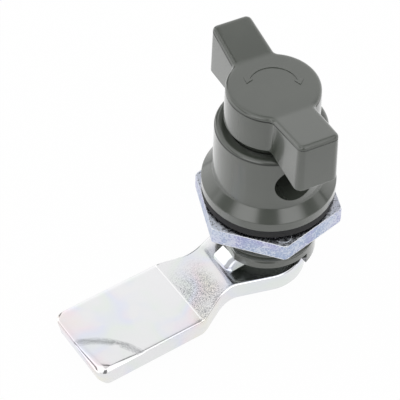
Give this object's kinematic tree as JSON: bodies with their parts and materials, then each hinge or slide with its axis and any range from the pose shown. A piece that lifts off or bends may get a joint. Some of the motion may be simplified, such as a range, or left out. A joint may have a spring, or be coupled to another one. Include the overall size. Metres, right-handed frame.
{
  "type": "half-turn lock",
  "caption": "Panel-mounted half-turn lock: flanged threaded housing with a winged knob and a padlock hole, turning a cranked flat cam behind the panel.",
  "frame": {"origin": "on the turning axis, in the plane of the flange's underside", "axes": "+Z out of the panel along the turning axis, Y along the wings and the padlock hole, -X roughly towards the cam's blade"},
  "size_m": [0.0634, 0.039, 0.0587],
  "materials": {
    "painted_casting": "satin warm grey powder coat on a zinc casting",
    "rubber": "matte black",
    "zinc_plate_blue": "blue passivated zinc plate",
    "zinc_plate_bright": "bright zinc plate with faint iridescence",
    "spring_steel": "zinc plated spring steel"
  },
  "bodies": {
    "housing": {"housing": "painted_casting", "panel_gasket": "rubber", "panel_nut": "zinc_plate_blue"},
    "rotor": {"wing_knob": "painted_casting", "shank_seal": "rubber", "cam": "zinc_plate_bright", "cam_washer": "zinc_plate_bright", "cam_spring_washer": "spring_steel", "cam_screw": "zinc_plate_bright"}
  },
  "joints": [
    {"name": "knob_turn", "type": "hinge", "parent": "housing", "child": "rotor", "pos_m": [0, 0, 0], "axis": [0, 0, 1], "range_deg": [-90, 90]}
  ]
}
